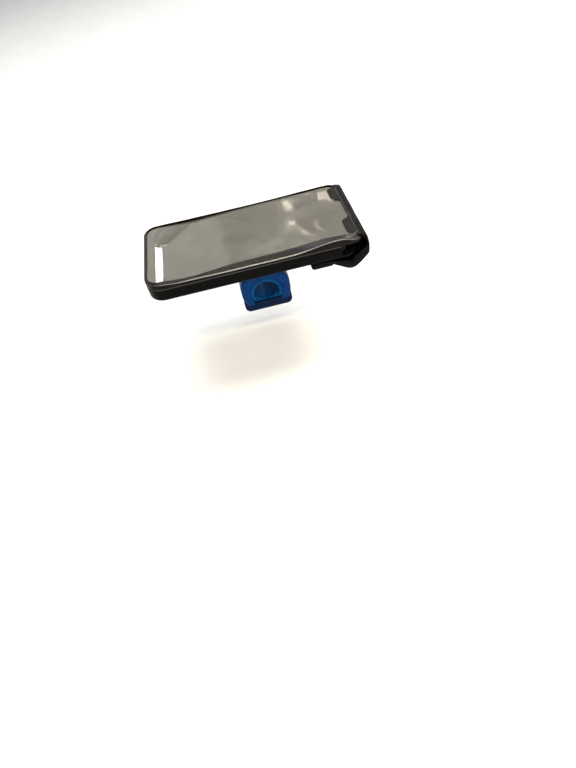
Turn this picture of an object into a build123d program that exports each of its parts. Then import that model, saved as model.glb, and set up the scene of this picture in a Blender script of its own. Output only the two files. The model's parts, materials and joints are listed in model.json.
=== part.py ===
"""Phone handlebar mount: a bar clamp, a quarter-turn coupling and a rain-proof phone case.

Frame: millimetres, origin on the axis of the clamp bore at the middle of its length,
+X along the handlebar to the rider's right, +Y to the front end of the case, +Z up out of the window.
"""
from build123d import *
import math
import os

# ------------------------------------------------------------------ driving dimensions
# clamp
bar_radius = 11.1            # 22.2 mm handlebar
liner_thickness = 3.0
clamp_length = 40.0          # along the bar
clamp_radius = 21.5          # outside, beside the bar
clamp_top = 19.5             # height of the saddle's flat top above the bar axis
saddle_corner = 13.0
saddle_low = -10.5           # the saddle's legs reach down past the bar's middle
boss_half_width = 21.0       # the legs are thickened here for the screws
boss_half_length = 15.0
cap_half_width = 21.6
cap_half_length = 15.6
cap_top = -12.0
cap_bottom = -21.5
cap_corner = 5.0
boss_corner = 2.5            # upright edges of the bosses
leg_inside = 12.6            # half the opening that the bar goes in through
clamp_edge = 2.0             # rounding of the end faces
groove_chamfer = 0.7         # bevels that leave a groove between liner and shell
liner_lip = -6.3             # the upper liner snaps over the bar down to here
lower_liner_top = -7.0
lower_liner_low = -14.6
leg_play = 0.3
rib_groove_width = 1.2
rib_groove_depth = 0.5
key_half_length = 5.0        # block that locks the upper liner in the saddle
key_half_width = 4.0
key_height = 1.6
cap_liner_margin = 1.6       # cap material left beyond the ends of its liner
lower_liner_edge = 0.5
cap_groove_pitch = 4.5       # grip grooves under the cap
cap_groove_width = 1.6
cap_groove_half_length = 7.0
cap_groove_depth = 0.6

# clamp screws, M3
screw_x = 10.0
screw_y = 17.2
screw_radius = 1.5
screw_clearance = 1.6
screw_head_radius = 2.75
screw_head_height = 3.0
screw_seat = -16.0           # bottom of the counterbore
screw_tip = -6.5
counterbore_radius = 3.0
washer_thickness = 0.5
insert_radius = 2.2
insert_bore = 1.58
insert_length = 5.0
hex_socket = 2.5             # across flats
hex_depth = 1.6
small_hex = 2.0              # across flats, in the low heads
screw_head_edge = 0.3
screw_tip_edge = 0.4
washer_play = 0.15           # between a washer and its counterbore
washer_bore_play = 0.02

# quarter-turn coupling
disc_base_radius = 15.0
disc_base_height = 2.5
disc_base_edge = 0.5
neck_radius = 9.0
ear_radius = 13.4
ear_low, ear_high = 25.5, 29.0
ear_half_angle = 38.0        # degrees either side of the Y axis
ear_edge = 0.4
disc_screw_y = 5.5
disc_screw_tip = 15.0
disc_head_depth = 2.6        # of the pockets that the disc's screws sink into
disc_head_sink = 0.5         # from the ears' top down to the screw heads
disc_head_edge = 0.5
disc_hex_depth = 1.4
head_play = 0.1              # round the heads in their pockets
ring_radius = 13.6           # damping ring on the disc's base
ring_gap = 0.3               # between the ring and the socket
ring_edge = 0.2
ring_play = 0.6              # round the neck
socket_radius = 19.0
socket_low = 23.0
socket_lip = 2.2
socket_cavity_radius = 14.0
socket_cavity_top = 29.6
socket_edge = 1.0
play = 0.4                   # free space between turning faces
entry_margin = 4.0           # degrees by which the ears' way in is wider than the ears
socket_screw_offset = 8.0
socket_hex_depth = 0.8
flutes = 12                  # finger flutes round the socket
flute_radius = 2.2
flute_offset = 1.2           # of a flute's axis outside the socket
flute_stop = 2.5             # below the case

# case
case_width = 87.0
case_length = 174.0
case_centre_y = 4.0          # the coupling sits a little behind the middle of the case
case_corner = 13.0           # at the front end
mouth_corner = 10.0          # at the rider's end
case_low = 33.0              # underside of the case
case_top = 49.2              # rim round the window
floor_thickness = 2.0
wall_thickness = 2.0
shell_top = 43.4
seal_thickness = 0.8
seal_inset = 0.5
seal_overlap = 0.2           # the cord stays this far from the walls' inner face
shell_edge = 3.0             # rounding under the case
plate_thickness = 1.2
plate_half_width = 38.0
plate_back, plate_front = -68.0, 84.0
pad_thickness = 2.0
pad_half_width = 38.6
pad_back, pad_front = -70.0, 86.0
pad_edge = 0.5
inlay_corner = 8.0           # corners of the plate and the pad
side_pad_back, side_pad_front = -58.0, 76.0
side_pad_inset = 0.2         # from the pocket's side
side_pad_gap = 0.1           # from the wall
side_pad_low_gap = 0.4       # from the floor
side_pad_high_gap = 0.6      # from the walls' top
loop_half_width = 36.0
loop_back = -58.0
loop_thickness = 0.8
loop_setback = 1.0           # from the tongue's end
patch_corner = 3.0           # corners of the loop and hook patches
film_low, film_high = 47.9, 48.5
window_half_width = 38.5
window_front = 87.6
window_corner = 9.0
window_lip = 1.0             # the front border reaches this far over the film
film_hem = 1.0               # the film's margin under the border
film_back_corner = 4.0
pocket_half_width = 39.5
bevel_width = 3.6
bevel_drop = 1.4

# mouth, at the rider's end of the case
floor_end = -77.0            # the floor stops here
wall_end = -64.0             # the side walls stop here
frame_end = -74.0            # the window frame hands over to the mouth rim
rim_end = -81.6
lobes = ((-37.5, -14.0), (15.5, 36.0))
lobe_tip = -71.0
lobe_corner = 3.0
lobe_root_corner = 0.5
mouth_border = -78.0
film_end = -80.0
hinge_bar_half = 38.0
hinge_bar_low = 46.8
hinge_bar_sink = 0.7         # below the rim
end_floor_lip = 1.0          # the floor is this much thicker at the mouth

# closing flap
flap_half_width = 41.0
flap_hinge = (-82.9, 47.2)   # Y, Z of the upper fold line
tongue_hinge = (-84.4, 31.0)  # Y, Z of the lower fold line
fold_radius = 0.9
flap_thickness = 1.8
tongue_thickness = 1.4
tongue_half_width = 42.0
tongue_flat = 31.5           # height of the flat part's middle, just under the case
tongue_flat_start = -57.5
tongue_end = -38.5
hook_half_width = 33.0
hook_length = 14.5
hook_margin = 2.5            # from the patch to the tongue's end
hook_thickness = 0.5
tab_length = 19.0
tab_thickness = 2.9
tab_corner = 2.5
tab_edge = 0.9
tab_ribs = 5
tab_rib_pitch = 2.8
tab_rib_start = 3.0
tab_rib_depth = 0.6
tab_rib_half = 34.0

# finger grooves on the long walls
finger_grooves = 12
finger_pitch = 2.9
finger_start = 41.0
finger_depth = 0.4
finger_low, finger_high = 37.6, 41.6

# derived
liner_radius = bar_radius + liner_thickness
disc_top = clamp_top + disc_base_height
disc_head_seat = ear_high - disc_head_depth
socket_lip_top = socket_low + socket_lip
floor_top = case_low + floor_thickness
pad_low = floor_top + plate_thickness
half_width = case_width / 2
inner_half = half_width - wall_thickness
case_front = case_centre_y + case_length / 2
case_back = case_centre_y - case_length / 2
frame_low = shell_top + seal_thickness
film_half_width = pocket_half_width + film_hem
tab_top = tongue_flat - tongue_thickness / 2

big = 300.0                  # size of cutting blocks
through = 1.0                # cuts reach this far past a face


# ------------------------------------------------------------------ helpers
def block(x_low, x_high, y_low, y_high, z_low, z_high):
    """A plain box between two corners."""
    centre = ((x_low + x_high) / 2, (y_low + y_high) / 2, (z_low + z_high) / 2)
    return Pos(*centre) * Box(x_high - x_low, y_high - y_low, z_high - z_low)


def slab(half_width, y_low, y_high, corner, z_low, z_high, x=0.0, back_corner=None):
    """A flat plate with rounded corners, symmetric about x; the corners at low Y may differ."""
    outline = Rectangle(2 * half_width, y_high - y_low)
    outline = fillet(outline.vertices().group_by(Axis.Y)[-1], corner)
    outline = fillet(outline.vertices().group_by(Axis.Y)[0], back_corner or corner)
    return Pos(x, (y_low + y_high) / 2, z_low) * extrude(outline, z_high - z_low)


def post(x, y, radius, z_low, z_high):
    """An upright cylinder."""
    return Pos(x, y, (z_low + z_high) / 2) * Cylinder(radius, z_high - z_low)


def hex_recess(x, y, across_flats, z_low, z_high):
    """An upright six-sided recess."""
    return Pos(x, y, z_low) * extrude(RegularPolygon(across_flats / 2, 6, major_radius=False), z_high - z_low)


def bar_tube(radius, length):
    """A cylinder along the handlebar axis."""
    return Rot(0, 90, 0) * Cylinder(radius, length)


def sector(radius, half_angle, z_low, z_high, direction):
    """A pie slice of a disc, centred on a direction given in degrees."""
    reach = radius * 1.5
    left = math.radians(direction + half_angle)
    right = math.radians(direction - half_angle)
    wedge = Polyline((0, 0), (reach * math.cos(right), reach * math.sin(right)),
                     (reach * math.cos(left), reach * math.sin(left)), (0, 0))
    face = make_face(wedge) & Circle(radius)
    return Pos(0, 0, z_low) * extrude(face, z_high - z_low)


def strip(centre_line, thickness, half_width):
    """A band of even thickness that follows a smooth line in the YZ plane, across the width."""
    upper, lower = [], []
    last = len(centre_line) - 1
    for i, (y, z) in enumerate(centre_line):
        ahead = centre_line[min(i + 1, last)]
        behind = centre_line[max(i - 1, 0)]
        along_y, along_z = ahead[0] - behind[0], ahead[1] - behind[1]
        scale = thickness / 2 / math.hypot(along_y, along_z)
        upper.append((y - along_z * scale, z + along_y * scale))
        lower.append((y + along_z * scale, z - along_y * scale))
    edges = Spline(*upper) + Line(upper[-1], lower[-1]) + Spline(*lower) + Line(lower[0], upper[0])
    return extrude(Plane.YZ * make_face(edges), half_width, both=True)


def group(solids):
    """Identical fasteners kept together as separate solids."""
    return Compound(children=list(solids))


def screw_places():
    return [(sx * screw_x, sy * screw_y) for sx in (-1, 1) for sy in (-1, 1)]


# ------------------------------------------------------------------ clamp
def end_rounded(body, radius):
    """Round the outline of both end faces of a body that lies along X."""
    faces = body.faces().sort_by(Axis.X)
    return fillet(faces[0].edges() + faces[-1].edges(), radius)


def liner_mouths():
    """Bevels at both ends of the shells' bore."""
    cones = []
    for side in (-1, 1):
        end = Pos(side * clamp_length / 2, 0, 0) * Rot(0, side * 90, 0)
        cone = Cone(liner_radius, liner_radius + groove_chamfer, groove_chamfer)
        cones.append(end * Pos(0, 0, -groove_chamfer / 2) * cone)
    return cones


def clamp_saddle():
    """Upper part of the clamp: a flat top for the coupling and two legs beside the bar."""
    profile = Pos(0, clamp_top / 2) * Rectangle(2 * clamp_radius, clamp_top)
    profile = fillet(profile.vertices().group_by(Axis.Y)[-1], saddle_corner)
    lower_half = Pos(0, -clamp_radius / 2) * Rectangle(2 * clamp_radius, clamp_radius)
    profile += Circle(clamp_radius) & lower_half
    body = end_rounded(extrude(Plane.YZ * profile, clamp_length / 2, both=True), clamp_edge)
    body -= block(-big, big, -big, big, -big, saddle_low)
    body += slab(boss_half_length, -boss_half_width, boss_half_width, boss_corner, saddle_low, 0)
    body -= bar_tube(liner_radius, 2 * clamp_length)
    body -= block(-big, big, -leg_inside, leg_inside, -big, liner_lip)
    for cone in liner_mouths():
        body -= cone
    body -= liner_key()
    for x, y in screw_places():
        body -= post(x, y, insert_radius, saddle_low, saddle_low + insert_length)
    for side in (-1, 1):
        body -= post(0, side * disc_screw_y, screw_radius, disc_screw_tip, clamp_top)
    return body


def clamp_cap():
    """Lower part of the clamp, which closes the saddle's legs, with four counterbores."""
    profile = Pos(0, cap_bottom / 2) * Rectangle(2 * cap_half_width, -cap_bottom)
    profile = fillet(profile.vertices().group_by(Axis.Y)[0], cap_corner)
    body = end_rounded(extrude(Plane.YZ * profile, cap_half_length, both=True), clamp_edge)
    body -= block(-big, big, -big, big, cap_top, big)
    body -= lower_liner_block()
    for x, y in screw_places():
        body -= post(x, y, counterbore_radius, cap_bottom - through, screw_seat)
        body -= post(x, y, screw_clearance, screw_seat, cap_top)
    # three shallow grooves across the bottom, where the cap is held while the screws are driven
    half = cap_groove_width / 2
    for x in (-cap_groove_pitch, 0, cap_groove_pitch):
        body -= block(x - half, x + half, -cap_groove_half_length, cap_groove_half_length,
                      cap_bottom, cap_bottom + cap_groove_depth)
    return body


def liner_key():
    """Block on the upper liner's back that stops it sliding out of the saddle."""
    return block(-key_half_length, key_half_length, -key_half_width, key_half_width,
                 liner_radius - through, liner_radius + key_height)


def rib_grooves(angles):
    """Shallow grooves along the bore, at angles from +Y towards +Z."""
    for angle in angles:
        groove = Pos(0, bar_radius, 0) * Box(2 * clamp_length, 2 * rib_groove_depth, rib_groove_width)
        yield Rot(angle, 0, 0) * groove


def liner_upper():
    """Rubber liner of the saddle, with lips that snap over the bar."""
    body = bar_tube(liner_radius, clamp_length)
    ends = body.faces().sort_by(Axis.X)
    body = chamfer(ends[0].edges() + ends[-1].edges(), groove_chamfer)
    body += liner_key()
    body -= bar_tube(bar_radius, 2 * clamp_length)
    body -= block(-big, big, -big, big, -big, liner_lip)
    for groove in rib_grooves((0, 30, 60, 90, 120, 150, 180)):
        body -= groove
    return body


def lower_liner_block():
    """The cap's liner before it's hollowed, and the pocket for it."""
    half_length = cap_half_length - cap_liner_margin
    side = leg_inside - leg_play
    return block(-half_length, half_length, -side, side, lower_liner_low, lower_liner_top)


def liner_lower():
    """Rubber block of the cap, hollowed to the bar."""
    body = lower_liner_block()
    body = chamfer(body.faces().sort_by(Axis.Z)[-1].edges(), lower_liner_edge)
    body -= bar_tube(bar_radius, 2 * clamp_length)
    for groove in rib_grooves((240, 270, 300)):
        body -= groove
    return body


def thread_inserts():
    """Four brass inserts in the ends of the saddle's legs."""
    low = saddle_low
    return group(post(x, y, insert_radius, low, low + insert_length)
                 - post(x, y, insert_bore, low - through, low + insert_length + through)
                 for x, y in screw_places())


def socket_head_screw(x, y, seat, tip):
    """A cap screw that points up, with its hex socket underneath."""
    head_low = seat - screw_head_height
    head = post(x, y, screw_head_radius, head_low, seat)
    head = chamfer(head.edges().group_by(Axis.Z)[0], screw_head_edge)
    shank = post(x, y, screw_radius, seat, tip)
    shank = chamfer(shank.edges().group_by(Axis.Z)[-1], screw_tip_edge)
    return head + shank - hex_recess(x, y, hex_socket, head_low, head_low + hex_depth)


def cap_screws():
    seat = screw_seat - washer_thickness
    return group(socket_head_screw(x, y, seat, screw_tip) for x, y in screw_places())


def cap_washers():
    low = screw_seat - washer_thickness
    return group(post(x, y, counterbore_radius - washer_play, low, screw_seat)
                 - post(x, y, screw_radius + washer_bore_play, low - through, screw_seat + through)
                 for x, y in screw_places())


# ------------------------------------------------------------------ quarter-turn coupling
def twist_disc():
    """Male half of the coupling: a base, a neck and two ears."""
    body = post(0, 0, disc_base_radius, clamp_top, disc_top)
    body = chamfer(body.edges().group_by(Axis.Z)[-1], disc_base_edge)
    body += post(0, 0, neck_radius, disc_top, ear_high)
    for direction in (90, 270):
        body += sector(ear_radius, ear_half_angle, ear_low, ear_high, direction)
    body = chamfer(body.edges().group_by(Axis.Z)[-1], ear_edge)
    for side in (-1, 1):
        y = side * disc_screw_y
        body -= post(0, y, screw_head_radius + head_play, disc_head_seat, ear_high + through)
        body -= post(0, y, screw_radius, clamp_top - through, disc_head_seat)
    return body


def disc_screws():
    """Two pan-head screws that hold the disc on the saddle."""
    solids = []
    for side in (-1, 1):
        y = side * disc_screw_y
        head_top = ear_high - disc_head_sink
        head = post(0, y, screw_head_radius, disc_head_seat, head_top)
        head = chamfer(head.edges().group_by(Axis.Z)[-1], disc_head_edge)
        recess = hex_recess(0, y, small_hex, head_top - disc_hex_depth, head_top + through)
        solids.append(head + post(0, y, screw_radius, disc_screw_tip, disc_head_seat) - recess)
    return group(solids)


def damping_ring():
    """Rubber ring on the disc's base that takes up the play of the coupling."""
    body = post(0, 0, ring_radius, disc_top, socket_low - ring_gap)
    body -= post(0, 0, neck_radius + ring_play, disc_top - through, socket_low)
    return chamfer(body.edges().group_by(Axis.Z)[-1], ring_edge)


def case_socket():
    """Female half of the coupling, on the back of the case."""
    body = post(0, 0, socket_radius, socket_low, case_low)
    body = chamfer(body.edges().group_by(Axis.Z)[0], socket_edge)
    body -= post(0, 0, socket_cavity_radius, socket_lip_top, socket_cavity_top)
    body -= post(0, 0, neck_radius + play, socket_low - through, socket_lip_top)
    for direction in (0, 180):
        body -= sector(ear_radius + play, ear_half_angle + entry_margin, socket_low - through,
                       socket_lip_top, direction)
    for x, y in socket_screw_places():
        body -= post(x, y, screw_radius, socket_cavity_top - through, case_low)
    # finger flutes round the rim
    centre = socket_radius + flute_offset
    for i in range(flutes):
        angle = math.radians(360 / flutes * (i + 0.5))
        body -= post(centre * math.cos(angle), centre * math.sin(angle), flute_radius,
                     socket_low - through, case_low - flute_stop)
    return body


def socket_screw_places():
    offset = socket_screw_offset
    return [(sx * offset, sy * offset) for sx in (-1, 1) for sy in (-1, 1)]


def socket_screws():
    """Four low-head screws from inside the case into the socket."""
    solids = []
    for x, y in socket_screw_places():
        head = post(x, y, screw_head_radius, floor_top, pad_low)
        recess = hex_recess(x, y, small_hex, pad_low - socket_hex_depth, pad_low + through)
        solids.append(head + post(x, y, screw_radius, socket_cavity_top, floor_top) - recess)
    return group(solids)


# ------------------------------------------------------------------ case
def loop_patch():
    """Loop half of the flap's fastening, sunk into the underside of the case."""
    return slab(loop_half_width, loop_back, tongue_end - loop_setback, patch_corner,
                case_low, case_low + loop_thickness)


def back_shell():
    """Tray of the case: a floor, two long walls and the front wall, open at the mouth."""
    body = slab(half_width, floor_end, case_front, case_corner, case_low, shell_top, back_corner=mouth_corner)
    body = fillet(body.faces().sort_by(Axis.Z)[0].edges(), shell_edge)
    body -= slab(inner_half, floor_end - case_corner, case_front - wall_thickness,
                 case_corner - wall_thickness, floor_top, big)
    body -= block(-big, big, -big, wall_end, floor_top + end_floor_lip, big)
    body -= loop_patch()
    for x, y in socket_screw_places():
        body -= post(x, y, screw_radius, 0, big)
    for wall in (-half_width, half_width):
        for i in range(finger_grooves):
            y = finger_start + finger_pitch * i
            body -= block(wall - finger_depth, wall + finger_depth, y, y + finger_pitch / 2,
                          finger_low, finger_high)
    return body


def back_plate():
    """Stiffening plate on the floor, clamped by the socket screws."""
    body = slab(plate_half_width, plate_back, plate_front, inlay_corner, floor_top, pad_low)
    for x, y in socket_screw_places():
        body -= post(x, y, screw_head_radius, floor_top - through, pad_low + through)
    return body


def foam_pad():
    """Soft pad that the phone lies on."""
    body = slab(pad_half_width, pad_back, pad_front, inlay_corner, pad_low, pad_low + pad_thickness)
    return chamfer(body.faces().sort_by(Axis.Z)[-1].edges(), pad_edge)


def side_pads():
    """Foam strips inside the two long walls."""
    solids = []
    for side in (-1, 1):
        inner, outer = pocket_half_width + side_pad_inset, inner_half - side_pad_gap
        x_low, x_high = sorted((side * inner, side * outer))
        solids.append(block(x_low, x_high, side_pad_back, side_pad_front,
                            floor_top + side_pad_low_gap, shell_top - side_pad_high_gap))
    return group(solids)


def rim_seal():
    """Sealing cord between the tray and the window frame, open at the mouth."""
    body = slab(half_width - seal_inset, case_back - case_corner, case_front - seal_inset,
                case_corner - seal_inset, shell_top, frame_low)
    body -= slab(inner_half + seal_overlap, case_back - 2 * case_corner,
                 case_front - wall_thickness - seal_overlap, case_corner - wall_thickness,
                 shell_top - through, frame_low + through)
    return body - block(-big, big, -big, wall_end, 0, big)


def border_bevel(body):
    """Slope the top of the border down to the outer edge."""
    top = body.faces().sort_by(Axis.Z)[-1]
    return chamfer(top.edges(), bevel_width, bevel_drop, reference=top)


def border_blank():
    """Outer shape of the border all the way round."""
    blank = slab(half_width, case_back, case_front, case_corner, frame_low, case_top,
                 back_corner=mouth_corner)
    return border_bevel(blank)


def window_frame():
    """Broad soft border round the window: two long sides and the front end."""
    body = border_blank()
    past_mouth = case_back - case_corner
    body -= slab(pocket_half_width, past_mouth, window_front, window_corner, 0, film_low)
    body -= slab(film_half_width, past_mouth, window_front + film_hem,
                 window_corner + film_hem, film_low, film_high)
    body -= slab(window_half_width, past_mouth, window_front - window_lip, window_corner, film_high, big)
    return body - block(-big, big, -big, frame_end, 0, big)


def window_film():
    """Clear front film, held under the border."""
    return slab(film_half_width, film_end, window_front + film_hem, window_corner + film_hem,
                film_low, film_high, back_corner=film_back_corner)


def mouth_rim():
    """Border across the rider's end of the window, with two rounded lobes over the film."""
    body = border_blank()
    body -= block(-big, big, frame_end, big, 0, big)
    body -= block(-big, big, -big, rim_end, 0, big)
    body -= block(-pocket_half_width, pocket_half_width, rim_end - through, big, 0, film_low)
    body -= block(-film_half_width, film_half_width, film_end, big, film_low, film_high)
    body -= block(-window_half_width, window_half_width, mouth_border, big, film_high, big)
    # the stiff bar that the flap hangs from
    body += block(-hinge_bar_half, hinge_bar_half, rim_end, film_end,
                  hinge_bar_low, case_top - hinge_bar_sink)
    for x_low, x_high in lobes:
        body += slab((x_high - x_low) / 2, film_end, lobe_tip, lobe_corner, film_high, case_top,
                     x=(x_low + x_high) / 2, back_corner=lobe_root_corner)
    return body


# ------------------------------------------------------------------ flap
def flap_nose():
    """Front of the closing flap: hangs from the upper fold and covers the mouth."""
    hinge_y, hinge_z = flap_hinge
    fold_y, fold_z = tongue_hinge
    line = [(hinge_y, hinge_z), (hinge_y - 1.7, hinge_z - 4.2), (hinge_y - 2.3, hinge_z - 8.6),
            (hinge_y - 2.3, hinge_z - 12.6), (fold_y - 0.3, fold_z + 1.5)]
    body = strip(line, flap_thickness, flap_half_width)
    bead = Pos(0, hinge_y, hinge_z) * Rot(0, 90, 0) * Cylinder(fold_radius, 2 * flap_half_width)
    return body + bead


def tongue_line():
    """Centre line of the tongue's loose bend, from the lower fold to the flat part."""
    fold_y, fold_z = tongue_hinge
    return [(fold_y, fold_z), (fold_y + 3.8, fold_z - 3.8), (fold_y + 8.2, fold_z - 7.4),
            (fold_y + 12.8, fold_z - 8.1), (fold_y + 17.4, fold_z - 5.4), (fold_y + 22.2, tongue_flat - 1.2),
            (tongue_flat_start, tongue_flat), (tongue_flat_start + 0.5, tongue_flat)]


def flap_tongue():
    """Part of the flap that folds under the case."""
    fold_y, fold_z = tongue_hinge
    body = strip(tongue_line(), tongue_thickness, tongue_half_width)
    body += block(-tongue_half_width, tongue_half_width, tongue_flat_start, tongue_end,
                  tab_top, tab_top + tongue_thickness)
    bead = Pos(0, fold_y, fold_z) * Rot(0, 90, 0) * Cylinder(fold_radius, 2 * tongue_half_width)
    return body + bead


def hook_patch():
    """Hook half of the fastening, on the tongue's upper face."""
    front = tongue_end - hook_margin
    low = tab_top + tongue_thickness
    return slab(hook_half_width, front - hook_length, front, patch_corner, low, low + hook_thickness)


def pull_tab():
    """Thick hem at the tongue's free end, ribbed for the fingers."""
    low = tab_top - tab_thickness
    back = tongue_end - tab_length
    body = slab(tongue_half_width, back, tongue_end, tab_corner, low, tab_top)
    body = chamfer(body.faces().sort_by(Axis.Z)[0].edges(), tab_edge)
    for i in range(tab_ribs):
        y = back + tab_rib_start + tab_rib_pitch * i
        body -= block(-tab_rib_half, tab_rib_half, y, y + tab_rib_pitch / 2,
                      low - through, low + tab_rib_depth)
    return body


# ------------------------------------------------------------------ nodes
NODES = {
    "clamp_saddle": clamp_saddle,
    "clamp_cap": clamp_cap,
    "liner_upper": liner_upper,
    "liner_lower": liner_lower,
    "thread_inserts": thread_inserts,
    "cap_screws": cap_screws,
    "cap_washers": cap_washers,
    "twist_disc": twist_disc,
    "disc_screws": disc_screws,
    "damping_ring": damping_ring,
    "case_socket": case_socket,
    "socket_screws": socket_screws,
    "back_shell": back_shell,
    "back_plate": back_plate,
    "foam_pad": foam_pad,
    "side_pads": side_pads,
    "rim_seal": rim_seal,
    "window_frame": window_frame,
    "window_film": window_film,
    "mouth_rim": mouth_rim,
    "loop_patch": loop_patch,
    "flap_nose": flap_nose,
    "flap_tongue": flap_tongue,
    "hook_patch": hook_patch,
    "pull_tab": pull_tab,
}

os.makedirs("parts", exist_ok=True)
for name, make in NODES.items():
    export_step(make(), f"parts/{name}.step")
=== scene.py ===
"""Looks of the phone handlebar mount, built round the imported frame. Lengths are in millimetres until
a mesh is made; UNIT turns them into metres."""
import json
import math
import random

import bmesh
import bpy
from mathutils import Matrix, Vector, noise


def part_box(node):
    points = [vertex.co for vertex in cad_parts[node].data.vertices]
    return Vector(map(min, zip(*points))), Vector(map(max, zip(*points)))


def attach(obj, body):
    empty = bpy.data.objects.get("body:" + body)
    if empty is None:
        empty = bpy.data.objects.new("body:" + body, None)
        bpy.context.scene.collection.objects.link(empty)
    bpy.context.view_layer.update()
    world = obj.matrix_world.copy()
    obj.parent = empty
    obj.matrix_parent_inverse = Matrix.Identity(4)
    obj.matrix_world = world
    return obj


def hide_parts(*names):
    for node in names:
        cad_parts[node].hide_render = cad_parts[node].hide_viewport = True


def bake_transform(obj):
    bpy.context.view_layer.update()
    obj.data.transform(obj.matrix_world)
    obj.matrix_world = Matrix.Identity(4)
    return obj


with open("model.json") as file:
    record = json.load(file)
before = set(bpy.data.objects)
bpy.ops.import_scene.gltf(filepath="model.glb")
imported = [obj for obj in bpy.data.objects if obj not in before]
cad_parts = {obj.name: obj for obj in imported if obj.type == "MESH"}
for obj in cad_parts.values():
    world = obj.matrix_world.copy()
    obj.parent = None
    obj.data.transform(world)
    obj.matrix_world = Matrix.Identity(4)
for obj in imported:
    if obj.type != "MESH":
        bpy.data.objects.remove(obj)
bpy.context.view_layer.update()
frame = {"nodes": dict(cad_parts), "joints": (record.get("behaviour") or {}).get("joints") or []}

UNIT = 0.001
nodes = frame["nodes"]


# ------------------------------------------------------------------ sizes read from the frame
def limits(node):
    """Lowest and highest corner of a CAD node, in millimetres."""
    low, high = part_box(node)
    return low / UNIT, high / UNIT


border_high = limits("window_frame")[1]
rim_high = limits("mouth_rim")[1]
tongue_high = limits("flap_tongue")[1]
film_low, film_high = limits("window_film")
tab_low, tab_high = limits("pull_tab")
pad_low, pad_high = limits("foam_pad")
loop_low, loop_high = limits("loop_patch")
hook_low, hook_high = limits("hook_patch")
CASE_LENGTH = 174.0
HALF = border_high.x                    # half the case's width
FRONT = border_high.y                   # front end of the case
BACK = FRONT - CASE_LENGTH              # rider's end of the case
TOP = border_high.z                     # rim of the window
CORNER = 13.0                           # of the front end
MOUTH_CORNER = 10.5                     # of the rider's end
CURL_START, CURL_END = FRONT - 15.0, FRONT - 9.3   # the film curls up to the border here
CURL_DEPTH = 1.7
CURL_SPREAD = 26.0                      # how much sooner the curl starts on the right
CURL_TURN = (10.0, 36.0)                # x over which its start moves back by that much
SWELL_RISE = (-24, -60)                 # y over which the loose border swells towards the mouth
SWELL_FALL = (-62, -79)                 # y over which it comes down again
FLAP_JOINT = next(j for j in frame["joints"] if j["name"] == "flap_hinge")
FOLD_JOINT = next(j for j in frame["joints"] if j["name"] == "tongue_fold")
FLAP_Y, FLAP_Z = (v / UNIT for v in FLAP_JOINT["pos_m"][1:])
FOLD_Y, FOLD_Z = (v / UNIT for v in FOLD_JOINT["pos_m"][1:])


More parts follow.
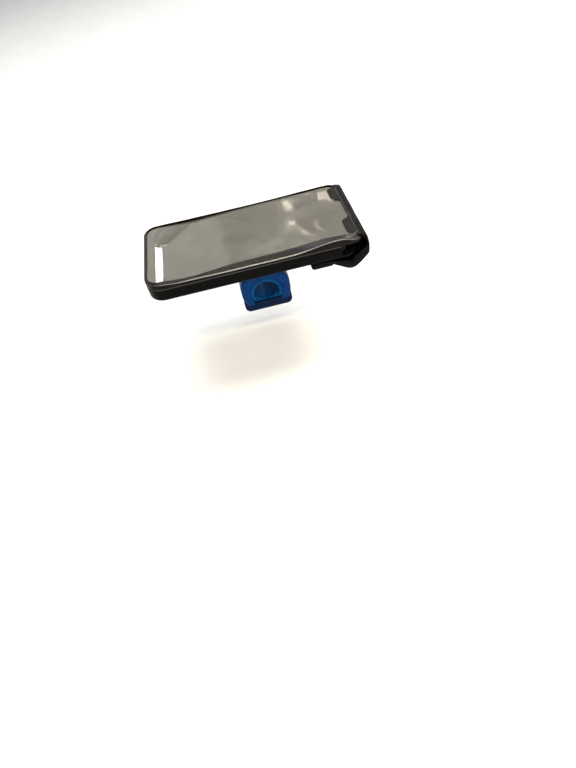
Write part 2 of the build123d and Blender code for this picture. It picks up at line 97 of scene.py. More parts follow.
# ------------------------------------------------------------------ materials
class Shader:
    """A Principled material under construction."""

    def __init__(self, name, roughness=0.5, metallic=0.0, ior=1.5, coat=0.0, coat_roughness=0.1, sheen=0.0,
                 specular=0.5):
        self.material = bpy.data.materials.new(name)
        self.material.use_nodes = True
        self.tree = self.material.node_tree
        self.shader = self.tree.nodes["Principled BSDF"]
        for socket, value in (("Roughness", roughness), ("Metallic", metallic), ("IOR", ior),
                              ("Coat Weight", coat), ("Coat Roughness", coat_roughness),
                              ("Sheen Weight", sheen), ("Specular IOR Level", specular)):
            self.shader.inputs[socket].default_value = value
        self.coordinates = self.tree.nodes.new("ShaderNodeTexCoord").outputs["Object"]

    def node(self, kind, sockets=None, **settings):
        """A new node; sockets maps an input to a number, a colour or another node's output."""
        made = self.tree.nodes.new(kind)
        for key, value in settings.items():
            setattr(made, key, value)
        for key, value in (sockets or {}).items():
            self.put(made.inputs[key], value)
        return made

    def put(self, socket, value):
        if isinstance(value, bpy.types.NodeSocket):
            self.tree.links.new(value, socket)
        else:
            socket.default_value = value

    def place(self, stretch=(1, 1, 1), turn=0.0):
        """Texture coordinates in millimetres, stretched and turned about Z."""
        scale = tuple(s / UNIT for s in stretch)
        return self.node("ShaderNodeMapping", {"Vector": self.coordinates, "Scale": scale,
                                               "Rotation": (0, 0, turn)}).outputs["Vector"]

    def noise(self, size, detail=3.0, rough=0.5, stretch=(1, 1, 1), warp=0.0):
        """Noise with features of about size millimetres, from 0 to 1."""
        return self.node("ShaderNodeTexNoise", {"Vector": self.place(stretch), "Scale": 1.0 / size,
                                                "Detail": detail, "Roughness": rough,
                                                "Distortion": warp}).outputs["Fac"]

    def cells(self, size):
        """Distance to the middle of cells of about size millimetres."""
        return self.node("ShaderNodeTexVoronoi", {"Vector": self.place(),
                                                  "Scale": 1.0 / size}).outputs["Distance"]

    def math(self, operation, a, b):
        made = self.node("ShaderNodeMath", operation=operation)
        self.put(made.inputs[0], a)
        self.put(made.inputs[1], b)
        return made.outputs[0]

    def remap(self, value, low, high, new_low=0.0, new_high=1.0):
        return self.node("ShaderNodeMapRange", {"Value": value, "From Min": low, "From Max": high,
                                                "To Min": new_low, "To Max": new_high}).outputs["Result"]

    def ramp(self, value, *stops):
        """Colours (r, g, b) at places from 0 to 1."""
        made = self.node("ShaderNodeValToRGB", {"Fac": value})
        elements = made.color_ramp.elements
        while len(elements) < len(stops):
            elements.new(0.5)
        for element, (place, colour) in zip(elements, stops):
            element.position = place
            element.color = (*colour, 1.0)
        return made.outputs["Color"]

    def blend(self, factor, a, b):
        made = self.node("ShaderNodeMix", data_type="RGBA")
        self.put(made.inputs["Factor"], factor)
        for socket, value in ((made.inputs[6], a), (made.inputs[7], b)):
            self.put(socket, (*value, 1.0) if isinstance(value, tuple) and len(value) == 3 else value)
        return made.outputs[2]

    def colour(self, value):
        self.put(self.shader.inputs["Base Color"], value)

    def roughness(self, value):
        self.put(self.shader.inputs["Roughness"], value)

    def relief(self, *layers):
        """Bump from (height, depth in millimetres) layers, one after another."""
        normal = None
        for height, depth in layers:
            made = self.node("ShaderNodeBump", {"Height": height, "Distance": depth * UNIT,
                                                "Strength": 1.0})
            if normal is not None:
                self.put(made.inputs["Normal"], normal)
            normal = made.outputs["Normal"]
        self.put(self.shader.inputs["Normal"], normal)

    def worn_edges(self, width):
        """1 on convex edges, 0 elsewhere: the difference between a rounded normal and the true one."""
        rounded = self.node("ShaderNodeBevel", {"Radius": width * UNIT}, samples=4).outputs["Normal"]
        true = self.node("ShaderNodeNewGeometry").outputs["Normal"]
        dot = self.node("ShaderNodeVectorMath", operation="DOT_PRODUCT")
        self.put(dot.inputs[0], rounded)
        self.put(dot.inputs[1], true)
        return self.remap(dot.outputs["Value"], 0.99, 0.85)

    def weave(self, pitch, turn=0.0):
        """Height of a plain twill of crossing ribs."""
        place = self.place(turn=turn)
        ribs = []
        for direction in ("X", "Y"):
            ribs.append(self.node("ShaderNodeTexWave", {"Vector": place, "Scale": math.pi / (5 * pitch),
                                                        "Distortion": 0.25, "Detail": 1.0,
                                                        "Detail Scale": 2.0},
                                  bands_direction=direction).outputs["Fac"])
        return self.math("MULTIPLY", ribs[0], ribs[1])


def moulded(name, dark, light, roughness, grain=0.25, grain_depth=0.01, scuff=0.06, specular=0.5):
    """Moulded plastic or rubber: cloudy colour, fine spark-eroded grain, a few scuffs and paler edges."""
    s = Shader(name, specular=specular)
    clouds = s.noise(14.0, detail=5.0, warp=0.4)
    base = s.ramp(clouds, (0.25, dark), (0.8, light))
    worn = s.math("MULTIPLY", s.worn_edges(0.35), s.remap(s.noise(2.5, detail=6.0), 0.45, 0.7))
    paler = tuple(min(1.0, c * 1.6 + 0.015) for c in light)
    s.colour(s.blend(s.math("MULTIPLY", worn, 0.45), base, paler))
    scratches = s.remap(s.noise(3.0, detail=8.0, rough=0.7, stretch=(1, 0.06, 1)), 0.6, 0.75)
    rough = s.math("ADD", s.remap(clouds, 0.2, 0.8, roughness - scuff, roughness + scuff),
                   s.math("MULTIPLY", scratches, scuff))
    s.roughness(rough)
    s.relief((s.cells(grain), grain_depth), (s.noise(6.0, detail=4.0), 0.05), (scratches, -0.004))
    return s.material


def make_blue():
    return moulded("blue_plastic", (0.0, 0.018, 0.092), (0.0, 0.036, 0.145), 0.36,
                   grain=0.3, grain_depth=0.008, specular=0.06)


# The clamp's blue made several times darker: painted shade, for the cap as it looks in shadow under the
# saddle.
def make_shaded_blue():
    return moulded("blue_plastic_painted_shade", (0.0, 0.005, 0.024), (0.0, 0.009, 0.04), 0.4,
                   grain=0.3, grain_depth=0.008, specular=0.08)


def make_blue_rubber():
    return moulded("blue_rubber", (0.0, 0.035, 0.12), (0.0, 0.060, 0.18), 0.5,
                   grain=0.22, grain_depth=0.012, scuff=0.08, specular=0.06)


def make_coupling():
    return moulded("coupling_plastic", (0.006, 0.006, 0.0065), (0.012, 0.012, 0.0125), 0.42,
                   grain=0.35, grain_depth=0.015, specular=0.25)


def make_shell():
    return moulded("shell_plastic", (0.0012, 0.0012, 0.0013), (0.0026, 0.0025, 0.0026), 0.3,
                   grain=0.28, grain_depth=0.006, specular=0.035)


def make_grey_rubber():
    return moulded("grey_rubber", (0.03, 0.03, 0.03), (0.05, 0.05, 0.05), 0.6, grain_depth=0.02)


def soft_cover(name, dark, light, roughness, pitch, depth, specular=0.5, ior=1.5, painted_edge_highlight=False):
    """Soft cover with a fine woven emboss, thumbed smooth in places. Its gloss may be set by which way the
    surface faces: a glossy band where the edge rounds over paints the crest highlight, and a duller top
    and matt upright sides paint shade by keeping the floor's reflection off them."""
    s = Shader(name, specular=specular, ior=ior)
    clouds = s.noise(9.0, detail=5.0, warp=0.6)
    weave = s.weave(pitch, turn=math.radians(45))
    base = s.ramp(clouds, (0.3, dark), (0.75, light))
    s.colour(s.blend(s.math("MULTIPLY", weave, 0.5), base, tuple(c * 1.7 + 0.004 for c in light)))
    s.roughness(s.remap(clouds, 0.25, 0.8, roughness - 0.07, roughness + 0.09))
    s.relief((weave, depth), (s.noise(1.6, detail=3.0), 0.012), (s.noise(12.0, detail=2.0), 0.12))
    if painted_edge_highlight:
        # gloss by facing: painted highlight on the rounded edge, painted shade on the matt upright sides
        sides, edge, top = (0.22, 0.42), (0.70, 0.80), 0.12    # Z of the normal, and the top's gloss
        normal = s.node("ShaderNodeNewGeometry").outputs["Normal"]
        upward = s.node("ShaderNodeSeparateXYZ", {"Vector": normal}).outputs["Z"]
        gloss_by_facing = s.remap(upward, *sides, 0.02, specular)
        s.put(s.shader.inputs["Specular IOR Level"],
              s.math("MINIMUM", gloss_by_facing, s.remap(upward, *edge, specular, top)))
    return s.material


def make_film():
    """Clear flexible film, a little milky, with faint scratches and a curled front edge; its warm cloudy
    grey is partly the film's milkiness and partly a painted reflection of a pale room.
    """
    s = Shader("window_film", ior=1.5, coat=0.3, coat_roughness=0.03)
    s.shader.inputs["Transmission Weight"].default_value = 0.82
    # cloudy warm grey of the film: partly its own milkiness, partly painted reflection of the room
    haze_and_painted_reflection = s.noise(26.0, detail=3.0, warp=0.8)
    scratch = s.remap(s.noise(2.2, detail=9.0, rough=0.75, stretch=(1, 0.04, 1), warp=0.3), 0.62, 0.72)
    s.colour(s.ramp(haze_and_painted_reflection, (0.3, (0.38, 0.355, 0.30)), (0.75, (0.50, 0.475, 0.41))))
    s.roughness(s.math("ADD", s.remap(haze_and_painted_reflection, 0.3, 0.7, 0.055, 0.115), s.math("MULTIPLY", scratch, 0.12)))
    along = s.node("ShaderNodeSeparateXYZ", {"Vector": s.coordinates}).outputs
    start = s.remap(along["X"], *(x * UNIT for x in CURL_TURN),
                    CURL_START * UNIT, (CURL_START - CURL_SPREAD) * UNIT)
    s.relief((s.remap(along["Y"], start, CURL_END * UNIT), CURL_DEPTH), (scratch, -0.002))
    return s.material


def make_foam():
    """Napped foam: short fibres over soft cells."""
    s = Shader("napped_foam", sheen=0.1, specular=0.2)
    fibres = s.noise(0.35, detail=5.0, rough=0.7, warp=0.5)
    patches = s.noise(7.0, detail=3.0)
    s.colour(s.blend(s.remap(patches, 0.35, 0.7), (0.010, 0.010, 0.011), (0.021, 0.021, 0.023)))
    s.roughness(s.remap(fibres, 0.3, 0.7, 0.8, 0.97))
    s.relief((fibres, 0.12), (s.cells(0.8), 0.06))
    return s.material


def metal(name, dark, light, roughness):
    """Plated or turned metal with fine tool marks and dull patches."""
    s = Shader(name, metallic=1.0)
    marks = s.noise(0.18, detail=4.0, stretch=(1, 1, 0.15))
    patches = s.noise(2.5, detail=5.0)
    s.colour(s.ramp(patches, (0.3, dark), (0.75, light)))
    s.roughness(s.remap(patches, 0.3, 0.8, roughness, roughness + 0.18))
    s.relief((marks, 0.0024))
    return s.material


def make_loop_tape():
    s = Shader("loop_tape", sheen=0.4)
    loops = s.noise(0.28, detail=4.0, rough=0.8, warp=2.0)
    s.colour(s.ramp(loops, (0.3, (0.006, 0.006, 0.007)), (0.75, (0.035, 0.035, 0.037))))
    s.roughness(s.remap(loops, 0.2, 0.8, 0.75, 0.95))
    s.relief((loops, 0.3))
    return s.material


def make_hook_tape():
    s = Shader("hook_tape")
    tint = s.noise(1.2, detail=3.0)
    s.colour(s.ramp(tint, (0.3, (0.012, 0.012, 0.013)), (0.7, (0.028, 0.028, 0.03))))
    s.roughness(s.remap(tint, 0.3, 0.7, 0.35, 0.5))
    s.relief((s.noise(0.4), 0.02))
    return s.material


BLUE = make_blue()
SHADED_BLUE = make_shaded_blue()
BLUE_RUBBER = make_blue_rubber()
COUPLING = make_coupling()
SHELL = make_shell()
GREY_RUBBER = make_grey_rubber()
# the border's crest highlight and dark upright sides are painted through gloss set by facing
BORDER = soft_cover("border_cover", (0.0035, 0.0027, 0.0018), (0.008, 0.006, 0.004), 0.2, 1.2, 0.07,
                    specular=0.9, ior=1.8, painted_edge_highlight=True)
LOBE = soft_cover("lobe_cover", (0.004, 0.0035, 0.0028), (0.008, 0.007, 0.0056), 0.5, 0.9, 0.03,
                  specular=0.09)
FLAP = soft_cover("flap_cover", (0.0012, 0.0010, 0.0011), (0.0026, 0.0023, 0.0024), 0.34, 1.1, 0.05,
                  specular=0.04)
FILM = make_film()
FOAM = make_foam()
STEEL = metal("plated_steel", (0.36, 0.36, 0.37), (0.58, 0.58, 0.58), 0.24)
BRASS = metal("turned_brass", (0.55, 0.38, 0.14), (0.75, 0.56, 0.26), 0.25)
PLATE = metal("rolled_aluminium", (0.45, 0.46, 0.47), (0.6, 0.61, 0.62), 0.35)
LOOP_TAPE = make_loop_tape()
HOOK_TAPE = make_hook_tape()

# the clamp's cap takes the blue with painted shade
for node_name, material in {
        "clamp_saddle": BLUE, "clamp_cap": SHADED_BLUE, "liner_upper": BLUE_RUBBER, "liner_lower": BLUE_RUBBER,
        "thread_inserts": BRASS, "cap_screws": STEEL, "cap_washers": STEEL, "disc_screws": STEEL,
        "socket_screws": STEEL, "twist_disc": COUPLING, "case_socket": COUPLING,
        "damping_ring": GREY_RUBBER, "rim_seal": GREY_RUBBER, "back_shell": SHELL,
        "back_plate": PLATE, "side_pads": FOAM}.items():
    mesh = nodes[node_name].data
    mesh.materials.clear()
    mesh.materials.append(material)


# ------------------------------------------------------------------ mesh helpers
def build(name, vertices, faces, material, subdivide=0):
    """A smooth mesh object from points in millimetres, subdivided for good."""
    mesh = bpy.data.meshes.new(name)
    mesh.from_pydata([Vector(v) * UNIT for v in vertices], [], faces)
    mesh.validate()
    body = bmesh.new()
    body.from_mesh(mesh)
    bmesh.ops.remove_doubles(body, verts=body.verts, dist=1e-7)
    bmesh.ops.recalc_face_normals(body, faces=body.faces)
    body.to_mesh(mesh)
    body.free()
    piece = bpy.data.objects.new(name, mesh)
    bpy.context.scene.collection.objects.link(piece)
    if subdivide:
        modifier = piece.modifiers.new("smooth", "SUBSURF")
        modifier.levels = modifier.render_levels = subdivide
        settle(piece)
    for face in piece.data.polygons:
        face.use_smooth = True
    piece.data.materials.clear()
    piece.data.materials.append(material)
    return piece


def settle(piece):
    """Apply all modifiers of a piece to its mesh."""
    bpy.context.view_layer.update()
    evaluated = piece.evaluated_get(bpy.context.evaluated_depsgraph_get())
    mesh = bpy.data.meshes.new_from_object(evaluated)
    piece.modifiers.clear()
    piece.data = mesh


def finish_piece(piece, body, *replaced, slot=None):
    """Attach a rigid piece to its body and hide the CAD parts it stands for."""
    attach(piece, body)
    if replaced:
        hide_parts(*replaced)
    return piece


def smoothstep(low, high, value):
    t = min(1.0, max(0.0, (value - low) / (high - low)))
    return t * t * (3 - 2 * t)


def hump(centre, half_width, value):
    """1 at the centre, falling smoothly to 0 at half_width to either side."""
    return 1.0 - smoothstep(0.0, half_width, abs(value - centre))


def waver(x, y, size, seed):
    """Smooth noise from -1 to 1 over the plane."""
    return noise.noise(Vector((x / size, y / size, seed)))


# ------------------------------------------------------------------ outline of the case
def outline(half, y_low, y_high, corner, low_corner=None, step=2.5, arc_steps=9):
    """Stations (x, y, nx, ny) round a rounded rectangle, from the low end of the left side, clockwise."""
    low = corner if low_corner is None else low_corner
    stations = []

    def straight(x0, y0, x1, y1, nx, ny):
        count = max(2, round(math.hypot(x1 - x0, y1 - y0) / step))
        for i in range(count):
            t = i / count
            stations.append((x0 + (x1 - x0) * t, y0 + (y1 - y0) * t, nx, ny))

    def arc(cx, cy, radius, start):
        for i in range(arc_steps):
            angle = math.radians(start - 90.0 * i / arc_steps)
            nx, ny = math.cos(angle), math.sin(angle)
            stations.append((cx + radius * nx, cy + radius * ny, nx, ny))

    straight(-half, y_low + low, -half, y_high - corner, -1, 0)
    arc(-half + corner, y_high - corner, corner, 180)
    straight(-half + corner, y_high, half - corner, y_high, 0, 1)
    arc(half - corner, y_high - corner, corner, 90)
    straight(half, y_high - corner, half, y_low + low, 1, 0)
    arc(half - low, y_low + low, low, 0)
    straight(half - low, y_low, -half + low, y_low, 0, -1)
    arc(-half + low, y_low + low, low, -90)
    return stations


def sweep(name, stations, profile, material, shape, subdivide=1):
    """Carry a closed profile of (outward, z) points once round the stations; shape moves each point."""
    vertices, faces = [], []
    n = len(profile)
    for x, y, nx, ny in stations:
        for out, z in profile:
            vertices.append(shape(x, y, nx, ny, out, z))
    count = len(stations)
    for i in range(count):
        a, b = i * n, ((i + 1) % count) * n
        for j in range(n):
            k = (j + 1) % n
            faces.append((a + j, a + k, b + k, b + j))
    return build(name, vertices, faces, material, subdivide)


# ------------------------------------------------------------------ soft border round the window
def bulge(y):
    """Loose swelling of the left edge beside the mouth, from 0 to 1."""
    return smoothstep(*SWELL_RISE, y) * (1.0 - smoothstep(*SWELL_FALL, y))


def side_swell(x):
    """Greatest height of the swelling across the case: mostly on the left side."""
    return 1.5 * smoothstep(0, -40, x) + 0.3


def side_lift(x, y):
    """How far the loose border stands up near the rider's end."""
    return bulge(y) * side_swell(x)


EDGE_TOP = 47.42                        # where the rounded outer edge meets the slope of the border
SLIM = (56, 40)                         # middle and half length of the left side's slimmer stretch
FULL = (-35, 45)                        # the same of its broader stretch


def border_shape(x, y, nx, ny, out, z):
    """Bow of the whole border, the loose bulge and the hand-made wobble of the inner edge."""
    inward = smoothstep(0.0, -4.5, out)
    left, right, end = max(0.0, -nx), max(0.0, nx), max(0.0, ny)
    # the border is broad on the left, narrow on the right and at the front
    squeeze = 1.0 - 0.55 * right - 0.45 * end - left * (0.45 * hump(*SLIM, y) - 0.25 * hump(*FULL, y))
    edge = out * squeeze if out < 0 else out
    z = min(z, EDGE_TOP) + max(0.0, z - EDGE_TOP) * (1.0 - 0.4 * left * hump(*SLIM, y))
    wobble = waver(x, y, 17, 3.0) * 0.3 * inward
    high = smoothstep(44.4, 47.5, z)
    bow = 0.45 * ((y - 4) / 87.0) ** 2 - 0.3
    crest = bulge(y) * left * (1 - inward) * 1.9
    front = 2.0 * smoothstep(60, 84, y) * smoothstep(-2.0, -0.2, out) * smoothstep(44.4, 47.0, z)
    lift = (side_lift(x, y) + crest + bow + waver(x, y, 21, 9.0) * 0.15) * high + front
    edge += wobble + bulge(y) * left * 0.6 * high * (1 - inward)
    if out <= -0.5:                     # the right side's inner edge is drawn in along its middle
        edge -= 0.7 * math.sin(math.pi * min(1.0, max(0.0, (y + 60) / 130))) * right
    return (x + nx * edge, y + ny * edge, min(z + lift, TOP + 1.9))


# outward and z, from under the outer edge over the slope to the edge on the film and back underneath
BORDER_PROFILE = [
    (-0.7, 44.25), (-0.15, 44.35), (0.0, 45.0), (0.0, 45.75), (-0.05, 46.25), (-0.19, 46.7), (-0.43, 47.1),
    (-0.76, EDGE_TOP), (-1.5, 47.95), (-2.6, 48.7), (-3.7, 49.4), (-4.6, 49.75), (-4.95, 49.78),
    (-5.15, 49.6), (-5.2, 48.9), (-5.0, 48.1), (-4.2, 47.4), (-4.0, 46.0), (-4.0, 44.4), (-2.5, 44.25)]


def window_border():
    stations = outline(HALF, BACK, FRONT, CORNER, MOUTH_CORNER, step=2.0, arc_steps=12)
    piece = sweep("window_border", stations, BORDER_PROFILE, BORDER, border_shape, subdivide=2)
    return finish_piece(piece, "case", "window_frame", slot="border_black")


LOBES = ((-37.5, -14.0), (15.5, 36.0))  # x of both ends of each lobe
LOBE_FOOT = BACK + 5.0                  # y from which the lobes reach out


def mouth_edge(x):
    """Inner edge of the mouth rim: two lobes that flow out of the end border."""
    inside, outside = 3.4, 2.8          # half widths of a lobe's soft corners
    reach = 0.0
    for x_low, x_high in LOBES:
        reach += (smoothstep(x_low - outside, x_low + inside, x)
                  * (1.0 - smoothstep(x_high - inside, x_high + outside, x)))
    return LOBE_FOOT + (rim_high.y - LOBE_FOOT) * reach


def mouth_lobes():
    """Flat sheet of the mouth rim over the end of the film, with a rounded inner edge."""
    columns, thickness = 150, 0.55
    steps = (0.0, 0.3, 0.55, 0.75, 0.88, 0.95, 0.985, 1.0)
    x_low, x_high = -HALF + 3.6, HALF - 3.6
    upper, lower = [], []
    for i in range(columns + 1):
        x = x_low + (x_high - x_low) * i / columns
        inner = mouth_edge(x)
        for t in steps:
            y = BACK + 2.2 + (inner - BACK - 2.2) * t
            z = TOP + 0.35 + side_lift(x, y) * 0.6 + 0.1 * waver(x, y, 12, 3.0)
            rolled = thickness * 0.5 * (1.0 - math.sqrt(max(0.0, 1.0 - smoothstep(0.7, 1.0, t) ** 2)))
            upper.append((x, y, z - rolled))
            lower.append((x, y, z - thickness + rolled))
    rows = len(steps)
    vertices = upper + lower
    half = len(upper)
    faces = []
    for i in range(columns):
        for j in range(rows - 1):
            a = i * rows + j
            faces.append((a, a + rows, a + rows + 1, a + 1))
            faces.append((half + a, half + a + 1, half + a + rows + 1, half + a + rows))
        faces.append((i * rows, half + i * rows, half + (i + 1) * rows, (i + 1) * rows))
    for j in range(rows - 1):
        last = columns * rows
        faces.append((j, j + 1, half + j + 1, half + j))
        faces.append((last + j, half + last + j, half + last + j + 1, last + j + 1))
    piece = build("mouth_lobes", vertices, faces, LOBE)
    return finish_piece(piece, "case", "mouth_rim", slot="border_black")


# ------------------------------------------------------------------ film
def film_height(x, y):
    """Waves of the film: long soft ripples, a steep curl up to the front border, the loose left edge."""
    ripple = 0.34 * waver(x, y * 0.75, 44, 1.7) + 0.05 * waver(x, y, 21, 5.1)
    edge = smoothstep(0.0, 9.0, min(x - film_low.x, film_high.x - x))
    calm = 1.0 - 0.6 * smoothstep(-40, -70, y)
    turned = (x - CURL_TURN[0]) / (CURL_TURN[1] - CURL_TURN[0])
    start = CURL_START - CURL_SPREAD * min(1.0, max(0.0, turned))
    sag = -1.3 * smoothstep(-20, 60, y)
    curl = CURL_DEPTH * min(1.0, max(0.0, (y - start) / (CURL_END - start)))
    sink = -0.4 * math.cos(math.pi * x / 90) * math.cos(math.pi * (y - 4) / 190)
    loose = 0.75 * side_swell(x) * smoothstep(*SWELL_RISE, y) * (1.0 - 0.5 * smoothstep(*SWELL_FALL, y))
    return film_high.z + ripple * (0.3 + 0.7 * edge) * calm + sink + sag + curl + loose


def round_off(x, y, half, y_low, y_high, corner):
    """Draw the corners of a rectangle in to arcs; points away from the corners stay."""
    centre_x = math.copysign(half - corner, x)
    centre_y = min(max(y, y_low + corner), y_high - corner)
    across, along = x - centre_x, y - centre_y
    if along == 0 or across * centre_x <= 0:
        return x, y
    scale = max(abs(across), abs(along)) / math.hypot(across, along)
    return centre_x + across * scale, centre_y + along * scale


def window_film():
    """A closed thin sheet with many small facets, so that its waves are in the mesh."""
    x_low, x_high = film_low.x + 0.3, film_high.x - 0.3
    y_low, y_high = film_low.y + 0.3, film_high.y + 0.2
    columns, rows, thickness, corner = 72, 200, 0.4, 10.0
    vertices, faces = [], []
    for side in (0, 1):
        for i in range(rows + 1):
            for j in range(columns + 1):
                x, y = round_off(x_low + (x_high - x_low) * j / columns,
                                 y_low + (y_high - y_low) * i / rows, x_high, y_low, y_high, corner)
                vertices.append((x, y, film_height(x, y) - side * thickness))
    width = columns + 1
    layer = width * (rows + 1)
    for i in range(rows):
        for j in range(columns):
            a = i * width + j
            faces.append((a, a + 1, a + width + 1, a + width))
            faces.append(tuple(layer + v for v in (a, a + width, a + width + 1, a + 1)))
    edge = ([j for j in range(columns)] + [i * width + columns for i in range(rows)]
            + [rows * width + j for j in range(columns, 0, -1)]
            + [i * width for i in range(rows, 0, -1)])
    for here, there in zip(edge, edge[1:] + edge[:1]):
        faces.append((here, layer + here, layer + there, there))
    piece = build("film_sheet", vertices, faces, FILM)
    return finish_piece(piece, "case", "window_film", slot="film_clear")


# ------------------------------------------------------------------ flap
def band(name, line, thicknesses, half_width, material, shape):
    """A flexible band across the case: follows a line of (y, z) points, with rolled side edges."""
    columns, edge_roll = 34, 0.35
    upper, lower = [], []
    last = len(line) - 1
    for i, (y, z) in enumerate(line):
        ahead, behind = line[min(i + 1, last)], line[max(i - 1, 0)]
        dy, dz = ahead[0] - behind[0], ahead[1] - behind[1]
        scale = thicknesses[i] / 2 / math.hypot(dy, dz)
        upper.append((y - dz * scale, z + dy * scale))
        lower.append((y + dz * scale, z - dy * scale))
    ring = upper + lower[::-1]
    centre = line + line[::-1]
    vertices, faces = [], []
    n = len(ring)
    for j in range(columns + 1):
        t = 2.0 * j / columns - 1.0
        x = half_width * math.copysign(abs(t) ** 0.8, t)
        pinch = 1.0 - edge_roll * smoothstep(0.93, 1.0, abs(t))
        for (y, z), (cy, cz) in zip(ring, centre):
            vertices.append(shape(x, cy + (y - cy) * pinch, cz + (z - cz) * pinch))
    for j in range(columns):
        a, b = j * n, (j + 1) * n
        for i in range(n):
            k = (i + 1) % n
            faces.append((a + i, a + k, b + k, b + i))
    faces.append(tuple(range(n)))
    faces.append(tuple(columns * n + i for i in reversed(range(n))))
    return build(name, vertices, faces, material, subdivide=2)


MEETING = (FLAP_Y - 3.2, 38.6)          # the upper and lower covers overlap here on the nose
OVERLAP = 1.4                           # how far each goes past that place


def flap_shape(x, y, z):
    """Loose hand-folded look: small waves across the width."""
    amount = smoothstep(-80, -84, y) if z > 36 else 1.0
    return (x + 0.25 * waver(y, z, 6, 2.0) * amount,
            y + 0.45 * waver(x, z, 19, 4.0) * amount,
            z + 0.35 * waver(x, y, 17, 6.0) * amount)


def flap_upper():
    """From the end of the case over the fold across the mouth and down the nose."""
    y, z = FLAP_Y, FLAP_Z
    line = [(BACK + 3.2, TOP - 0.85), (BACK + 1.6, TOP - 0.75), (y + 0.1, TOP - 0.9), (y - 1.1, z + 0.3),
            (y - 2.1, z - 2.2), (y - 2.8, z - 5.2), MEETING, (MEETING[0], MEETING[1] - OVERLAP)]
    thick = [0.9, 1.2, 1.5, 1.7, 1.6, 1.5, 1.5, 1.3]
    piece = band("flap_upper_cover", line, thick, HALF - 2.2, FLAP, flap_shape)
    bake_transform(piece)
    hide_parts("flap_nose")
    return piece


def flap_lower():
    """From the nose over the sharp lower fold, down to the loose bend and up to the flat tongue."""
    y, z = FOLD_Y, FOLD_Z
    flat = (tongue_high.z + hook_low.z) / 2 - 0.7
    line = [(MEETING[0], MEETING[1] + OVERLAP), MEETING, (y - 1.75, z + 5.0), (y - 1.85, z + 2.6),
            (y - 1.85, z + 1.0), (y - 1.6, z - 0.1), (y - 0.8, z - 1.0), (y + 1.2, z - 2.9),
            (y + 4.8, z - 6.4), (y + 8.8, z - 9.7),
            (y + 12.2, z - 10.8), (y + 15.4, z - 10.3), (y + 19.0, z - 8.2), (y + 23.0, z - 5.4),
            (y + 26.0, z - 3.9), (y + 29.0, flat - 1.2), (y + 33.0, flat - 0.2), (y + 39.0, flat),
            (tongue_high.y - 0.7, flat)]
    thick = [1.2, 1.5, 1.5, 1.4, 1.2, 1.1, 1.1] + [1.4] * 12
    piece = band("flap_lower_cover", line, thick, HALF - 1.6, FLAP, flap_shape)
    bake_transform(piece)
    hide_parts("flap_tongue")
    return piece


def rounded_slab(name, low, high, corner, material, subdivide=2):
    """A plate with rounded corners and rolled edges."""
    rim = 0.35
    half_x, half_y = (high.x - low.x) / 2, (high.y - low.y) / 2
    cx, cy = (high.x + low.x) / 2, (high.y + low.y) / 2
    ring = [(x, y) for x, y, _, _ in outline(half_x, -half_y, half_y, corner, step=6.0, arc_steps=4)]
    height = high.z - low.z
    layers = [(rim * 2.5, low.z), (rim * 0.3, low.z + height * 0.12), (0.0, low.z + height * 0.3),
              (0.0, high.z - height * 0.3), (rim * 0.3, high.z - height * 0.12), (rim * 2.5, high.z),
              (rim * 2.5 + min(half_x, half_y) * 0.3, high.z)]
    vertices, faces = [], []
    for inset, z in layers:
        for x, y in ring:
            vertices.append((cx + x * (1 - inset / half_x), cy + y * (1 - inset / half_y), z))
    n = len(ring)
    for layer in range(len(layers) - 1):
        a, b = layer * n, (layer + 1) * n
        for j in range(n):
            k = (j + 1) % n
            faces.append((a + j, a + k, b + k, b + j))
    faces.append(tuple(reversed(range(n))))
    faces.append(tuple((len(layers) - 1) * n + j for j in range(n)))
    return build(name, vertices, faces, material, subdivide)


def pull_hem():
    """Thick ribbed hem at the free end of the tongue."""
    hang, ribs, samples, columns = 1.4, 5, 60, 40
    low, high = tab_low - Vector((0, 0, hang)), tab_high
    roof = high.z + 0.3                 # it meets the tongue's underside here
    half_x = (high.x - low.x) / 2 - 0.3
    length = high.y - low.y
    rows = []
    for i in range(samples + 1):
        t = i / samples
        y = low.y + length * t
        round_end = min(1.0, math.sqrt(max(0.0, 1 - (abs(2 * t - 1)) ** 6)) + 0.05)
        inside = smoothstep(0.12, 0.2, t) * smoothstep(0.88, 0.8, t)
        rib = 0.35 * inside * (0.5 - 0.5 * math.cos(2 * math.pi * ribs * (t - 0.16) / 0.68))
        rows.append((y, high.z - (high.z - low.z) * round_end + rib))
    vertices, faces = [], []
    for j in range(columns + 1):
        across = math.sin(math.pi / 2 * (2 * j / columns - 1))
        x = half_x * across
        edge = math.sqrt(max(0.0, 1 - abs(across) ** 90))
        for y, z in rows:
            vertices.append((x, y, roof - (roof - z) * (0.5 + 0.5 * edge)))
        for y, _ in reversed(rows):
            vertices.append((x, y, roof))
    n = 2 * len(rows)
    for j in range(columns):
        for i in range(n):
            k = (i + 1) % n
            faces.append((j * n + i, j * n + k, (j + 1) * n + k, (j + 1) * n + i))
    faces.append(tuple(range(n)))
    faces.append(tuple(columns * n + i for i in reversed(range(n))))
    piece = build("pull_hem", vertices, faces, FLAP)
    return finish_piece(piece, "tongue", "pull_tab", slot="flap_black")


# ------------------------------------------------------------------ hook and loop tape
def loop_tape():
    piece = rounded_slab("loop_tape", loop_low, loop_high, 3.0, LOOP_TAPE)
    return finish_piece(piece, "case", "loop_patch", slot="loop_black")


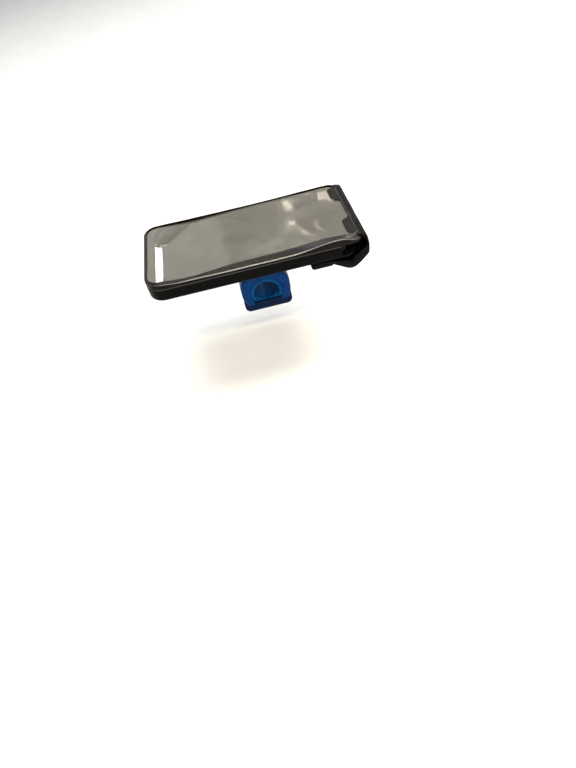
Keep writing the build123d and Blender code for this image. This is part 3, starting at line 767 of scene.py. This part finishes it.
def hook_tape():
    """A backing with rows of small hooked pegs."""
    piece = rounded_slab("hook_tape", hook_low, hook_high - Vector((0, 0, 0.15)), 3.0, HOOK_TAPE,
                         subdivide=1)
    pegs = bmesh.new()
    pegs.from_mesh(piece.data)
    rng = random.Random(4)
    pitch = 1.25
    columns = int((hook_high.x - hook_low.x - 4) / pitch)
    rows = int((hook_high.y - hook_low.y - 3) / pitch)
    for i in range(rows + 1):
        for j in range(columns + 1):
            x = hook_low.x + 2 + pitch * (j + 0.5 * (i % 2)) + rng.uniform(-0.06, 0.06)
            y = hook_low.y + 1.5 + pitch * i + rng.uniform(-0.06, 0.06)
            bmesh.ops.create_cone(pegs, cap_ends=True, segments=6, radius1=0.2 * UNIT, radius2=0.3 * UNIT,
                                  depth=0.35 * UNIT,
                                  matrix=Matrix.Translation(Vector((x, y, hook_high.z - 0.12)) * UNIT))
    pegs.to_mesh(piece.data)
    pegs.free()
    return finish_piece(piece, "tongue", "hook_patch", slot="hook_black")


# ------------------------------------------------------------------ foam pad
def phone_pad():
    """The CAD pad's outline, remeshed finely and swollen a little between its edges."""
    source = nodes["foam_pad"]
    mesh = source.data.copy()
    piece = bpy.data.objects.new("phone_pad", mesh)
    bpy.context.scene.collection.objects.link(piece)
    remesh = piece.modifiers.new("cells", "REMESH")
    remesh.mode = "VOXEL"
    remesh.voxel_size = 0.55 * UNIT
    relax = piece.modifiers.new("relax", "SMOOTH")
    relax.factor, relax.iterations = 0.5, 6
    settle(piece)
    for vertex in piece.data.vertices:
        x, y, z = vertex.co / UNIT
        if z > pad_low.z + 0.6:
            lift = 0.12 * waver(x, y, 9, 8.0) + 0.05 * waver(x, y, 3, 2.0)
            vertex.co.z = min(z + lift, pad_high.z + 0.1) * UNIT
    for face in piece.data.polygons:
        face.use_smooth = True
    piece.data.materials.clear()
    piece.data.materials.append(FOAM)
    finish_piece(piece, "case", "foam_pad", slot="foam_black")
    return piece


window_border()
mouth_lobes()
window_film()
flap_upper()
flap_lower()
pull_hem()
loop_tape()
hook_tape()
phone_pad()


# ------------------------------------------------------------------ stage, light and camera
# lengths in metres from here on
FLOOR_SIZE, FLOOR_Z = 10.0, -0.052
AIM = (0, 0, 0.045)                     # every light faces the middle of the case
CAMERA_LENS = 23.44                     # millimetres, on a sensor 36 mm wide
CAMERA_PLACE = (-0.36487, 0.00706, 0.27427)
CAMERA_RIGHT, CAMERA_FORWARD = (-0.1900, -0.9707, -0.1469), (0.6539, -0.0135, -0.7564)

# name, place, both sides, watts, colour, and the direction of the first side where it matters; the
# first ten are mirrored in the film: a broad ceiling, small lights beside it, the key in the film's curl
LIGHTS = (
    ("ceiling", (1.6, 0.05, 1.05), (1.7, 1.1), 1.1, (1.0, 0.955, 0.82), None),
    ("left_patch", (1.66, 0.34, 1.11), (0.36, 0.3), 0.17, (1.0, 0.97, 0.9), None),
    ("right_patch", (1.73, -0.42, 0.99), (0.22, 0.2), 0.010, (1.0, 0.96, 0.88), None),
    ("band", (1.63, -0.012, 1.165), (0.30, 0.035), 0.036, (1.0, 0.97, 0.88), (0.03, -0.31, -0.05)),
    ("curve", (1.755, 0.279, 1.03), (0.07, 0.02), 0.016, (1.0, 0.98, 0.9), (0.027, -0.035, -0.016)),
    ("streak", (1.748, -0.251, 1.032), (0.14, 0.012), 0.014, (1.0, 0.9, 0.7), (-0.029, -0.142, 0.022)),
    ("lamp", (1.705, -0.197, 1.085), (0.03, 0.03), 0.024, (1.0, 0.93, 0.75), None),
    ("lamp_glow", (1.69, -0.185, 1.10), (0.08, 0.06), 0.007, (1.0, 0.96, 0.82), None),
    ("square", (1.605, -0.162, 1.20), (0.08, 0.08), 0.012, (1.0, 0.97, 0.86), None),
    ("key", (2.473, -1.092, 1.254), (0.42, 0.42), 12, (1.0, 0.98, 0.95), None),
    ("overhead", (0.6, 0.25, 1.5), (0.9, 0.9), 18, (0.97, 0.98, 1.0), None),
    ("side", (-1.22, -0.15, 0.83), (1.5, 0.75), 17, (1.0, 0.98, 0.93), None),
    ("crest", (-0.62, -0.26, 1.05), (0.6, 0.14), 8, (1.0, 0.86, 0.62), (0.0, 1.0, 0.0)),
    ("rider", (0.45, -0.95, 1.25), (0.5, 0.5), 16, (1.0, 0.97, 0.9), None),
)


def stage_floor():
    bpy.ops.mesh.primitive_plane_add(size=FLOOR_SIZE, location=(0, 0, FLOOR_Z))
    floor = bpy.context.object
    floor.name = "floor"
    s = Shader("pale_floor", roughness=0.85)
    s.colour(s.ramp(s.noise(60.0, detail=3.0), (0.3, (0.76, 0.76, 0.75)), (0.7, (0.8, 0.8, 0.79))))
    floor.data.materials.append(s.material)


def area_light(name, place, size, power, colour, along):
    """A soft rectangular light that faces the case; along is the direction of its first side."""
    lamp = bpy.data.lights.new(name, "AREA")
    lamp.shape = "RECTANGLE"
    lamp.size, lamp.size_y = size
    lamp.energy = power
    lamp.color = colour
    holder = bpy.data.objects.new(name, lamp)
    bpy.context.scene.collection.objects.link(holder)
    holder.location = place
    back = Vector(place) - Vector(AIM)
    holder.rotation_euler = (-back).to_track_quat("-Z", "Y").to_euler()
    if along:
        back.normalize()
        across = (Vector(along) - back * back.dot(Vector(along))).normalized()
        holder.rotation_euler = Matrix((across, back.cross(across), back)).transposed().to_euler()


def studio():
    world = bpy.data.worlds.new("studio")
    bpy.context.scene.world = world
    world.use_nodes = True
    background = world.node_tree.nodes["Background"]
    background.inputs["Color"].default_value = (0.93, 0.95, 1.0, 1.0)
    background.inputs["Strength"].default_value = 0.35
    bpy.context.scene.view_settings.view_transform = "Standard"
    for light in LIGHTS:
        area_light(*light)


def photo_camera():
    """Standing behind the left grip, looking along the bar and down on the case."""
    camera = bpy.data.cameras.new("photo_camera")
    camera.sensor_width = 36.0
    camera.lens = CAMERA_LENS
    camera.clip_start = 0.01
    holder = bpy.data.objects.new("photo_camera", camera)
    bpy.context.scene.collection.objects.link(holder)
    forward = Vector(CAMERA_FORWARD).normalized()
    up = Vector(CAMERA_RIGHT).normalized().cross(forward).normalized()
    right = forward.cross(up).normalized()
    turn = Matrix((right, up, -forward)).transposed()
    holder.matrix_world = Matrix.Translation(CAMERA_PLACE) @ turn.to_4x4()
    bpy.context.scene.camera = holder


stage_floor()
studio()
photo_camera()
